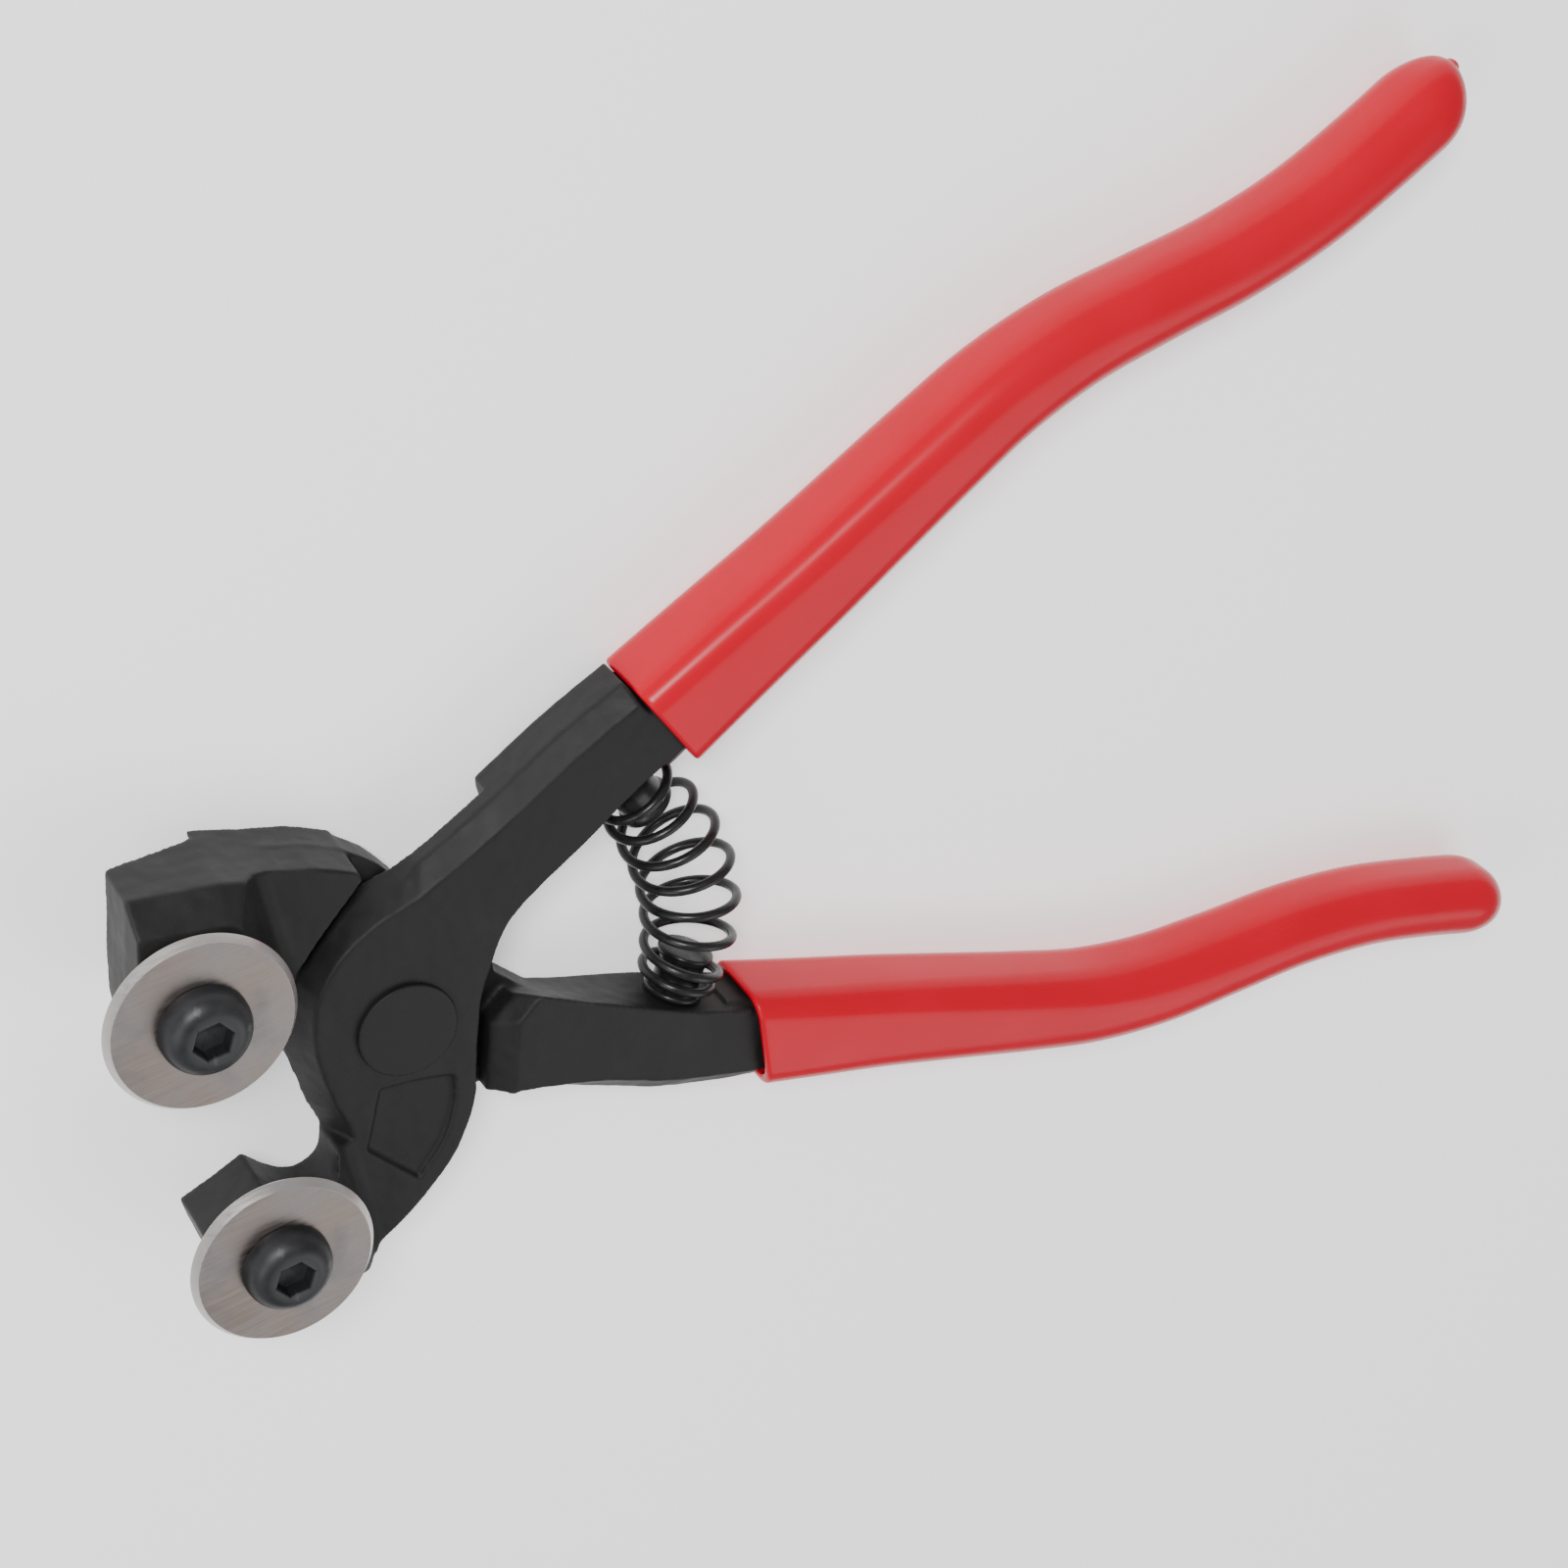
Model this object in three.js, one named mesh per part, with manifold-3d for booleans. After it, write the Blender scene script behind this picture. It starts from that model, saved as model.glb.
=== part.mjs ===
// Wheeled mosaic glass nippers: two forged levers crossing at a rivet, a cutting wheel on each jaw,
// dipped grips and a barrel spring that opens the handles. Millimetres, +Z up.
// The tool lies on its back: z = 0 is the flat back of the rivet, the pivot axis is +Z through the
// origin, the handles point along +X and the jaws along -X. The handles are drawn fully open.

import * as THREE from "three";
import { mergeVertices } from "three/addons/utils/BufferGeometryUtils.js";
import Module from "manifold-3d";

const wasm = await Module();
wasm.setup();

// ---- Driving dimensions ----

const leverBackZ = 1.5;
const leverThickness = 10;
const leverFrontZ = leverBackZ + leverThickness;
const midZ = (leverBackZ + leverFrontZ) / 2;
const lapGap = 0.3;
const frontLapZ = midZ + lapGap / 2;
const rearLapZ = midZ - lapGap / 2;
const lapRadius = 13.2;
const lapDraft = 2.6;
const recessDepth = 0.7;
const edgeBreak = 0.3;
const handleChamfer = 2.4;
const facetInset = 3.4;
const overlap = 0.8;
const touchGap = 0.05;

const seatZ = 17;
const jawChamfer = 3.3;
const rampTopX = -15.2;
const rampFootX = -10.8;

const wheelArm = 28.9;
const wheelAngle = 38.05;
const wheelRadius = 11;
const wheelThickness = 2;
const wheelBevel = 0.7;
const wheelBoreRadius = 3.08;
const wheelBoreBreak = 0.25;

const screwRadius = 3;
const screwLength = 12;
const screwHeadRadius = 5.25;
const screwHeadHeight = 3.3;
const hexAcrossFlats = 4;
const hexDepth = 2.1;

const rivetHeadRadius = 6.05;
const rivetShankRadius = 5;
const rivetRunning = 0.06;
const rivetFrontZ = leverFrontZ + 0.6;

const gripThickness = 13;
const gripThinning = 1;
const gripWall = 1.3;
const gripFit = 0.15;
const upperGrip = { start: 7.6, slant: 0 };
const lowerGrip = { start: 10.4, slant: 0.36 };
const slantFade = 15;
const gripCorner = 3.4;
const gripTipCorner = 4.7;
const gripRoundEnd = 6;
const stationStep = 4.6;

const springWire = 1.2;
const springTurns = 8;
const springEndTurns = 0.95;
const springEndRadius = 4.3;
const springMidRadius = 5.8;
const springEndPitch = 1.27;
const springEndLift = 2.0;
const springPull = 12;
const springSteps = 18;
const springSides = 6;

const upperStud = { base: [33.4, 17.2], direction: -65 };
const lowerStud = { base: [33.6, -15.6], direction: 59 };
const studRadius = 2.9;
const studFlare = 3.5;
const studCollar = 3.7;
const studHeight = 6.2;
const studShankRadius = 2;
const studShankLength = 5;

const roundSteps = 64;
const samePoint = 0.05;
const nearlyStraight = 0.25;
const barHalf = 60;

// ---- Geometry helpers ----

function solidOf(geometry) {
  geometry.deleteAttribute("normal");
  geometry.deleteAttribute("uv");
  const merged = mergeVertices(geometry, 1e-4);
  const mesh = new wasm.Mesh({
    numProp: 3,
    vertProperties: new Float32Array(merged.attributes.position.array),
    triVerts: new Uint32Array(merged.index.array),
  });
  return new wasm.Manifold(mesh);
}

function geometryOf(solid) {
  const mesh = solid.getMesh();
  const geometry = new THREE.BufferGeometry();
  geometry.setAttribute("position", new THREE.BufferAttribute(new Float32Array(mesh.vertProperties), 3));
  geometry.setIndex(new THREE.BufferAttribute(new Uint32Array(mesh.triVerts), 1));
  geometry.computeVertexNormals();
  return geometry;
}

// Closed skin over rings of equal length, each counter-clockwise seen from the last ring's side.
function skin(rings, capTriangles) {
  const count = rings[0].length;
  const last = (rings.length - 1) * count;
  const index = [];
  for (let r = 0; r + 1 < rings.length; r += 1) {
    for (let i = 0; i < count; i += 1) {
      const a = r * count + i;
      const b = r * count + ((i + 1) % count);
      index.push(a, b, b + count, a, b + count, a + count);
    }
  }
  for (const [a, b, c] of capTriangles(rings[0])) {
    index.push(a, c, b);
  }
  for (const [a, b, c] of capTriangles(rings[rings.length - 1])) {
    index.push(last + a, last + b, last + c);
  }
  const positions = rings.flat().flatMap((p) => [p.x, p.y, p.z]);
  const geometry = new THREE.BufferGeometry();
  geometry.setAttribute("position", new THREE.Float32BufferAttribute(positions, 3));
  geometry.setIndex(index);
  return solidOf(geometry);
}

const flatRing = (ring) => ring.map((p) => new THREE.Vector2(p.x, p.y));
const planCap = (ring) => THREE.ShapeUtils.triangulateShape(flatRing(ring), []);
const fanCap = (ring) => ring.slice(2).map((_, i) => [0, i + 1, i + 2]);

// A stretch of outline: its points, how far the edge is inset at each level of the plate (a list, or a
// function of the share of the stretch passed), and the steps of the smooth curve through the points.
const stretch = (points, inset, smooth = 0) => ({ points, inset, smooth });

function arcPoints(radius, fromDeg, toDeg, steps) {
  return Array.from({ length: steps + 1 }, (_, i) => {
    const a = THREE.MathUtils.degToRad(fromDeg + ((toDeg - fromDeg) * i) / steps);
    return [radius * Math.cos(a), radius * Math.sin(a)];
  });
}

function sampleOutline(stretches) {
  const nodes = [];
  for (const { points, inset, smooth } of stretches) {
    const corners = points.map(([x, y]) => new THREE.Vector2(x, y));
    const run = smooth ? new THREE.SplineCurve(corners).getSpacedPoints(smooth) : corners;
    run.forEach((p, i) => {
      const amounts = typeof inset === "function" ? inset(i / (run.length - 1)) : inset;
      const previous = nodes[nodes.length - 1];
      if (previous && previous.p.distanceTo(p) < samePoint) {
        previous.inset = amounts;
      } else {
        nodes.push({ p, inset: amounts });
      }
    });
  }
  if (nodes[0].p.distanceTo(nodes[nodes.length - 1].p) < samePoint) {
    nodes.pop();
  }
  return nodes;
}

// Moves every side of the outline inwards by its own amount at one level and joins the sides again.
function insetOutline(nodes, level) {
  const sides = nodes.map((node, i) => {
    const next = nodes[(i + 1) % nodes.length];
    const along = next.p.clone().sub(node.p).normalize();
    const inward = new THREE.Vector2(-along.y, along.x);
    const amount = node.inset[level];
    return { along, inward, amount, start: node.p.clone().addScaledVector(inward, amount) };
  });
  return sides.map((side, i) => {
    const before = sides[(i + sides.length - 1) % sides.length];
    const turn = before.along.cross(side.along);
    if (Math.abs(turn) < nearlyStraight) {
      const inward = before.inward.clone().add(side.inward).normalize();
      return nodes[i].p.clone().addScaledVector(inward, (before.amount + side.amount) / 2);
    }
    const t = side.start.clone().sub(before.start).cross(side.along) / turn;
    return before.start.clone().addScaledVector(before.along, t);
  });
}

// Plate between given heights; the outline is counter-clockwise and may be inset at each height.
function plate(stretches, heights) {
  const nodes = sampleOutline(stretches);
  const ringAt = (z, level) => insetOutline(nodes, level).map((p) => new THREE.Vector3(p.x, p.y, z));
  return skin(heights.map(ringAt), planCap);
}

function cylinder(radius, fromZ, toZ, steps = roundSteps) {
  const geometry = new THREE.CylinderGeometry(radius, radius, toZ - fromZ, steps);
  geometry.rotateX(Math.PI / 2);
  geometry.translate(0, 0, (fromZ + toZ) / 2);
  return solidOf(geometry);
}

function lathe(profile, steps = roundSteps, matrix = new THREE.Matrix4()) {
  const geometry = new THREE.LatheGeometry(profile.map(([r, z]) => new THREE.Vector2(r, z)), steps);
  geometry.rotateX(Math.PI / 2);
  geometry.applyMatrix4(matrix);
  return solidOf(geometry);
}

// Long bar with a cross-section given in the XZ plane, used to cut slopes across a lever.
function crossBar(points) {
  const shape = new THREE.Shape(points.map(([x, z]) => new THREE.Vector2(x, z)));
  const geometry = new THREE.ExtrudeGeometry(shape, { depth: 2 * barHalf, bevelEnabled: false });
  geometry.rotateX(Math.PI / 2);
  geometry.translate(0, barHalf, 0);
  return solidOf(geometry);
}

const mirrored = (points) => points.map(([x, y]) => [x, -y]).reverse();
const flipped = (solid) => solid.mirror([0, 1, 0]);

// ---- Handle line, shared by both levers ----

const handleLine = new THREE.CatmullRomCurve3(
  [
    [32, 20.6], [40, 24.2], [50, 28.6], [60, 32.9], [70, 37.5], [80, 42.1], [89, 45.9], [99, 48.5],
    [110, 49.7], [121, 50.7], [132, 53.0], [142, 56.6], [155.5, 62.4],
  ].map(([x, y]) => new THREE.Vector3(x, y, midZ)),
  false,
  "centripetal",
);
handleLine.arcLengthDivisions = 400;
const handleLength = handleLine.getLength();

const gripWidth = new THREE.SplineCurve(
  [[0, 13.3], [0.17, 12.2], [0.35, 11.4], [0.55, 10.6], [0.72, 9.9], [0.86, 9.7], [1, 10.2]].map(
    ([share, width]) => new THREE.Vector2(share, width),
  ),
);

// Ring of points of a rounded rectangle across the handle line, at a length along it; a slanted ring
// is shifted forwards on its outer side.
function handleRing(length, halfWidth, halfThick, corner, steps, slant) {
  const u = THREE.MathUtils.clamp(length / handleLength, 0, 1);
  const centre = handleLine.getPointAt(u);
  const along = handleLine.getTangentAt(u);
  const side = new THREE.Vector3(-along.y, along.x, 0).normalize();
  const radius = Math.min(corner, halfWidth * 0.98, halfThick * 0.98);
  const ring = [];
  for (let quarter = 0; quarter < 4; quarter += 1) {
    const acrossSign = quarter === 0 || quarter === 3 ? 1 : -1;
    const upSign = quarter < 2 ? 1 : -1;
    for (let k = 0; k <= steps; k += 1) {
      const a = ((quarter + k / steps) * Math.PI) / 2;
      const across = acrossSign * (halfWidth - radius) + radius * Math.cos(a);
      const up = upSign * (halfThick - radius) + radius * Math.sin(a);
      const point = centre.clone().addScaledVector(side, across).addScaledVector(along, across * slant);
      ring.push(point.add(new THREE.Vector3(0, 0, up)));
    }
  }
  return ring;
}

// Bar along the handle line that lies a given depth under the sleeve's outside, with a round end.
function handleBar(grip, depth, from, steps) {
  const tip = handleLength - depth;
  const ringAt = (length) => {
    const share = THREE.MathUtils.clamp((length - grip.start) / (handleLength - grip.start), 0, 1);
    const fade = THREE.MathUtils.clamp(1 - (length - grip.start) / slantFade, 0, 1);
    const halfWidth = gripWidth.getPoint(share).y / 2 - depth;
    const halfThick = (gripThickness - gripThinning * share) / 2 - depth;
    const left = tip - length;
    const squeeze = left < gripRoundEnd ? Math.sqrt(1 - (1 - left / gripRoundEnd) ** 2) : 1;
    const corner = THREE.MathUtils.lerp(gripCorner, gripTipCorner, Math.min(share / 0.6, 1)) - depth;
    return handleRing(length, halfWidth * squeeze, halfThick * squeeze, corner, steps, grip.slant * fade);
  };
  const straight = tip - gripRoundEnd - from;
  const count = Math.round(straight / stationStep);
  const lengths = Array.from({ length: count + 1 }, (_, i) => from + (straight * i) / count);
  for (const share of [0.25, 0.5, 0.7, 0.85, 0.95, 0.99]) {
    lengths.push(tip - gripRoundEnd * (1 - share));
  }
  return skin(lengths.map(ringAt), fanCap);
}

function gripSleeve(grip) {
  const core = handleBar(grip, gripWall, grip.start - 2, 1);
  return handleBar(grip, 0, grip.start, 4).subtract(core);
}

// Trims a lever where the sleeve covers it and runs its own narrower bar on into the sleeve.
function withTang(lever, grip) {
  const room = handleBar(grip, -0.4, grip.start - touchGap, 2);
  return lever.subtract(room).add(handleBar(grip, gripWall + gripFit, grip.start - 3, 1));
}

// ---- Jaw shapes shared by both levers, drawn for the lower jaw ----

const sharp = [0, 0, edgeBreak];
const drafted = [0, lapDraft / 2, lapDraft];

const throat = [
  [-12.9, -7.3], [-12.15, -11.2], [-13.4, -14.2], [-16.3, -15.2], [-19, -13.7], [-21.8, -10.2],
];
const jawEnd = [[-21.8, -10.2], [-30, -12.7], [-29.6, -18.5]];

// Everything in front of the jaw's ramp, which climbs from the lever's face to the wheel's seat.
const overRamp = crossBar([
  [rampTopX, seatZ], [rampFootX - 1.6, leverFrontZ + 1.7], [rampFootX - 0.5, leverFrontZ + 0.55],
  [rampFootX + 1, leverFrontZ], [90, leverFrontZ], [90, 40], [rampTopX, 40],
]);

// Point of the wheel's axis; side is 1 for the upper wheel and -1 for the lower one.
function wheelAxis(side) {
  const a = THREE.MathUtils.degToRad(180 - side * wheelAngle);
  return new THREE.Vector3(wheelArm * Math.cos(a), wheelArm * Math.sin(a), 0);
}

function screwHole(side) {
  return cylinder(screwRadius + 0.1, 0, seatZ + 1, 32).translate(wheelAxis(side).toArray());
}

// ---- Spring studs: round posts set square into the handles' inner faces ----

function studMatrix({ base, direction }) {
  const turn = new THREE.Matrix4().makeRotationZ(THREE.MathUtils.degToRad(direction));
  const stand = new THREE.Matrix4().makeRotationY(Math.PI / 2);
  return new THREE.Matrix4().makeTranslation(base[0], base[1], midZ).multiply(turn).multiply(stand);
}

// Half outline of a stud from its hidden end to its flared top.
const studProfile = [
  [0, -studShankLength], [studShankRadius, -studShankLength], [studShankRadius, touchGap],
  [studCollar, touchGap], [studCollar, 0.7], [studRadius, 1.1], [studRadius, studHeight - 1.6],
  [studFlare, studHeight - 0.9], [studFlare, studHeight - 0.3], [studFlare - 0.4, studHeight], [0, studHeight],
];

// Blind hole for the shank with a flat spot-faced seat for the collar.
const studHole = (stud) => lathe([
  [0, -studShankLength - 0.1], [studShankRadius + 0.1, -studShankLength - 0.1], [studShankRadius + 0.1, 0],
  [studCollar + 0.2, 0], [studCollar + 0.2, studHeight + 2], [0, studHeight + 2],
], 32, studMatrix(stud));

// ---- Front lever: upper handle and lower jaw, its lap half in front ----

const gripLineTop = [35.6, 30.8];
const gripLineBottom = [40.6, 20.7];
const frontInner = [[11.8, 3], [13.3, 5.4], [15.6, 8], [18.2, 9.7], [25, 13], [33, 17], gripLineBottom];
const frontOuter = [gripLineTop, [27, 27.6], [16, 22.6], [10, 20.2], [5.2, 18.6]];
const frontLap = [
  [5.2, 18.6], [0.2, 17.9], [-4.6, 16], [-8.4, 13.2], [-11.4, 9.3], [-13, 4.4], [-13.4, -1], throat[0],
];
const frontArm = [[-10.9, -28.6], [-5, -25.4], [0, -21.9], [3, -18.5], [5, -15.5], [6.2, -13.1]];
const frontRight = [[6.2, -13.1], [7.3, -8], [8.6, -4], [10, 0], [11.8, 3]];
const frontJawCorner = [-24.9, -30.2];

function frontLapPlate() {
  return plate(
    [
      stretch(frontInner, sharp, 16),
      stretch([gripLineBottom, gripLineTop], sharp),
      stretch(frontOuter, [0, 0, handleChamfer], 14),
      stretch(frontLap, drafted, 16),
      stretch(throat.slice(0, 3), drafted, 5),
      stretch([throat[2], [-17, -22]], sharp),
      stretch(frontArm, sharp, 14),
      stretch(frontRight, sharp, 8),
    ],
    [frontLapZ, leverFrontZ - handleChamfer, leverFrontZ],
  );
}

function frontHandleBack() {
  const back = [edgeBreak, 0, 0];
  const rootTop = [17.4, 23.2];
  const rootBottom = [18.2, 9.7];
  return plate(
    [
      stretch([rootBottom, [25, 13], [33, 17], gripLineBottom], back, 10),
      stretch([gripLineBottom, gripLineTop], back),
      stretch([gripLineTop, [27, 27.6], rootTop], [handleChamfer, 0, 0], 8),
      stretch([rootTop, rootBottom], back),
    ],
    [leverBackZ, leverBackZ + handleChamfer, frontLapZ + overlap],
  );
}

function frontJaw() {
  return plate(
    [
      stretch(throat.slice(1), sharp, 12),
      stretch(jawEnd.concat([frontJawCorner]), sharp),
      stretch([frontJawCorner, [-12.7, -29], frontArm[0]], [0, 0, jawChamfer]),
      stretch([frontArm[0], [-6, -20], [-8.5, -12], throat[1]], sharp),
    ],
    [frontLapZ, seatZ - jawChamfer, seatZ],
  ).subtract(overRamp);
}

// Shallow forged recess in the lap's face, between the rivet and the jaw.
function lapRecess() {
  const flat = [0, 0];
  return plate(
    [
      stretch([[-5, -6.7], [-8.5, -14.2], [-3.7, -21.4]], flat),
      stretch([[-3.7, -21.4], [0.5, -17.6], [3, -13], [3.8, -9.2]], flat, 8),
      stretch([[3.8, -9.2], [-0.6, -7.6], [-5, -6.7]], flat, 6),
    ],
    [leverFrontZ - recessDepth, leverFrontZ + 1],
  );
}

function frontLever() {
  return withTang(frontLapPlate().add(frontHandleBack()).add(frontJaw()), upperGrip)
    .subtract(lapRecess())
    .subtract(cylinder(rivetShankRadius + touchGap, 0, 20))
    .subtract(screwHole(-1))
    .subtract(studHole(upperStud));
}

// ---- Rear lever: lower handle and upper jaw, its lap half behind ----

const rearJawCorner = [-25.6, 33.2];
const rearRoot = [[5.6, 12], [5.9, 14.4], [4.6, 17], [3, 19.6], [0, 23]];
const rearPad = [[0, 23], [-4.8, 26], [-10, 28.1], [-15.4, 30.4]];
const rearOuter = [[11.4, -16.5], [18.9, -20.9], [27, -25.8], [34.2, -28.8], [40.8, -31.1]];
const rearInner = [[42.3, -20.3], [36, -17], [31, -14], [25, -10], [20, -6.6], [16.6, -4.1], [14.8, -3.1]];
const rearThroat = mirrored(throat);
const rearEnd = mirrored(jawEnd);
const shoulder = [[-10.6, 12.8], [0.5, 21.5]];
const rampFoot = [[10.1, -6.4], [7.4, -15.4]];
const creasePoint = [31.5, -20.3];
const creaseDrop = 0.8;

function rearLapPlate() {
  const back = [edgeBreak, 0];
  return plate(
    [
      stretch(arcPoints(lapRadius, -8, 64, 10), back),
      stretch(rearRoot, back, 8),
      stretch(rearPad, back, 6),
      stretch([rearPad[3], rearJawCorner, ...rearEnd], back),
      stretch(rearThroat, back, 14),
      stretch(arcPoints(lapRadius, 152, 268, 14), back),
      stretch([[3, -15.6], rearOuter[0], [17, -18.4], [18.5, -9]], back),
    ],
    [leverBackZ, rearLapZ],
  );
}

// Raised pad on the jaw's root: full lever thickness, cut off by the shoulder beside the lap.
function rearPadBlock() {
  const flat = [0, edgeBreak];
  return plate(
    [
      stretch([shoulder[1], rearPad[0]], flat),
      stretch(rearPad, flat, 6),
      stretch([rearPad[3], rearThroat[2], rearThroat[3], rearThroat[4], ...shoulder], flat),
    ],
    [leverBackZ, leverFrontZ],
  );
}

function rearJawBlock() {
  const rootX = -8;
  return plate(
    [
      stretch([[rootX, 16.2], [rootX, 27.2]], sharp),
      stretch([[rootX, 27.2], rearPad[2], rearPad[3], rearJawCorner], [0, 0, jawChamfer]),
      stretch([rearJawCorner, ...rearEnd], sharp),
      stretch(rearThroat.slice(0, 5), sharp, 12),
      stretch([rearThroat[4], shoulder[0], [rootX, 16.2]], sharp),
    ],
    [leverBackZ, seatZ - jawChamfer, seatZ],
  ).subtract(overRamp);
}

function rearJaw() {
  const stepX = -15.2;
  const underRamp = crossBar([
    [stepX, 0], [stepX, leverBackZ + 1.7], [-25.5, frontLapZ], [-45, frontLapZ], [-45, 0],
  ]);
  return rearLapPlate().add(rearPadBlock()).add(rearJawBlock()).subtract(underRamp);
}

// The handle's inner face leans back near the crotch and stands square where the spring sits.
function rearHandle() {
  const facet = (share) => facetInset * THREE.MathUtils.clamp(1.6 * share - 0.5, 0, 1);
  const innerInset = (share) => [facet(share), facet(share) * 0.75, facet(share) * 0.25, 0];
  const rampInset = (share) => [0, 0, 0, 1.6 + 2.4 * share];
  const outerInset = (share) => {
    const chamfer = handleChamfer * THREE.MathUtils.clamp(3 * share, 0, 1);
    return [chamfer, 0, 0, chamfer];
  };
  return plate(
    [
      stretch(rearInner, innerInset, 16),
      stretch([rearInner[6], rampFoot[0], rampFoot[1]], rampInset),
      stretch([rampFoot[1], ...rearOuter], outerInset, 10),
      stretch([rearOuter[4], rearInner[0]], [0, 0, 0, 0]),
    ],
    [leverBackZ, leverBackZ + handleChamfer, leverFrontZ - handleChamfer, leverFrontZ],
  );
}

// The handle's front face falls away from a crease towards the grip.
function gripwardTaper() {
  const reach = 16;
  return crossBar([[0, leverFrontZ], [reach, leverFrontZ - creaseDrop], [reach, 16], [0, 16]])
    .rotate([0, 0, -24])
    .translate([...creasePoint, 0]);
}

function rearLever() {
  return flipped(withTang(flipped(rearJaw().add(rearHandle())), lowerGrip))
    .subtract(gripwardTaper())
    .subtract(cylinder(rivetShankRadius + rivetRunning, 0, 20))
    .subtract(screwHole(1))
    .subtract(studHole(lowerStud));
}

// ---- Rivet, wheels and screws ----

function pivotRivet() {
  const back = leverBackZ - touchGap;
  const front = leverFrontZ + touchGap;
  return lathe([
    [0, 0], [rivetHeadRadius - 0.2, 0], [rivetHeadRadius, 0.2], [rivetHeadRadius, back], [rivetShankRadius, back],
    [rivetShankRadius, front], [rivetHeadRadius, front], [rivetHeadRadius, rivetFrontZ - 0.15],
    [rivetHeadRadius - 0.15, rivetFrontZ], [0, rivetFrontZ],
  ]);
}

function cuttingWheel() {
  const half = wheelThickness / 2;
  return lathe([
    [wheelBoreRadius, -half + wheelBoreBreak], [wheelBoreRadius + wheelBoreBreak, -half],
    [wheelRadius - wheelBevel, -half],
    [wheelRadius, 0], [wheelRadius - wheelBevel, half], [wheelBoreRadius + wheelBoreBreak, half],
    [wheelBoreRadius, half - wheelBoreBreak], [wheelBoreRadius, -half + wheelBoreBreak],
  ], 96);
}

// Button head over the origin, shank below it; the dome is an arc from the rim to the flat top.
function wheelScrew() {
  const flatTop = 2.9;
  const rim = 0.45;
  const dome = Array.from({ length: 7 }, (_, i) => {
    const a = ((i + 1) / 7) * (Math.PI / 2);
    return [flatTop + (screwHeadRadius - flatTop) * Math.cos(a), rim + (screwHeadHeight - rim) * Math.sin(a)];
  });
  const body = lathe([
    [0, -screwLength], [screwRadius - 0.5, -screwLength], [screwRadius, -screwLength + 0.5], [screwRadius, 0],
    [screwHeadRadius, 0], [screwHeadRadius, rim], ...dome, [0, screwHeadHeight],
  ], 48);
  const hexRadius = hexAcrossFlats / Math.sqrt(3);
  return body.subtract(cylinder(hexRadius, screwHeadHeight - hexDepth, screwHeadHeight + 1, 6));
}

// ---- Return spring: barrel-shaped, close-wound at both ends, bowed away from the pivot ----

function springAxis() {
  const onStud = (stud, height) => new THREE.Vector3(0, 0, height).applyMatrix4(studMatrix(stud));
  const far = springEndLift + springPull;
  return new THREE.CubicBezierCurve3(
    onStud(lowerStud, springEndLift), onStud(lowerStud, far),
    onStud(upperStud, far), onStud(upperStud, springEndLift),
  );
}

// Share of the axis reached after a share of the turns: nearly closed coils at both ends.
function springClimb(turnShare, axisLength) {
  const endShare = springEndTurns / springTurns;
  const closed = (springEndTurns * springEndPitch) / axisLength;
  if (turnShare < endShare) return (turnShare / endShare) * closed;
  if (turnShare > 1 - endShare) return 1 - ((1 - turnShare) / endShare) * closed;
  return closed + ((turnShare - endShare) / (1 - 2 * endShare)) * (1 - 2 * closed);
}

function returnSpring() {
  const axis = springAxis();
  const axisLength = axis.getLength();
  const steps = Math.round(springTurns * springSteps);
  const points = Array.from({ length: steps + 1 }, (_, i) => {
    const share = springClimb(i / steps, axisLength);
    const along = axis.getTangentAt(share);
    const across = new THREE.Vector3(along.y, -along.x, 0).normalize();
    const swell = Math.sin(Math.PI * share) ** 0.7;
    const radius = springEndRadius + (springMidRadius - springEndRadius) * swell;
    const a = (i / steps) * springTurns * 2 * Math.PI;
    const lift = new THREE.Vector3(0, 0, radius * Math.sin(a));
    return axis.getPointAt(share).addScaledVector(across, radius * Math.cos(a)).add(lift);
  });
  const sides = arcPoints(springWire / 2, 0, 360 - 360 / springSides, springSides - 1);
  const section = new THREE.Shape(sides.map(([x, y]) => new THREE.Vector2(x, y)));
  const extrudePath = new THREE.CatmullRomCurve3(points);
  return solidOf(new THREE.ExtrudeGeometry(section, { steps, extrudePath, bevelEnabled: false }));
}

// ---- Assembly ----

const steelBlack = new THREE.MeshStandardMaterial({ color: 0x343436, metalness: 0.7, roughness: 0.55 });
const steelGround = new THREE.MeshStandardMaterial({ color: 0xa59b96, metalness: 0.9, roughness: 0.35 });
const screwBlack = new THREE.MeshStandardMaterial({ color: 0x3a3c44, metalness: 0.8, roughness: 0.4 });
const springBlack = new THREE.MeshStandardMaterial({ color: 0x202022, metalness: 0.8, roughness: 0.35 });
const gripRed = new THREE.MeshStandardMaterial({ color: 0xe00020, metalness: 0, roughness: 0.3 });

const group = new THREE.Group();

function addMesh(name, solid, material) {
  const mesh = new THREE.Mesh(geometryOf(solid), material);
  mesh.name = name;
  group.add(mesh);
  return mesh;
}

addMesh("front_lever", frontLever(), steelBlack);
addMesh("rear_lever", rearLever(), steelBlack);
addMesh("pivot_rivet", pivotRivet(), steelBlack);
addMesh("upper_grip", gripSleeve(upperGrip), gripRed);
addMesh("lower_grip", flipped(gripSleeve(lowerGrip)), gripRed);
addMesh("return_spring", returnSpring(), springBlack);

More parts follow.
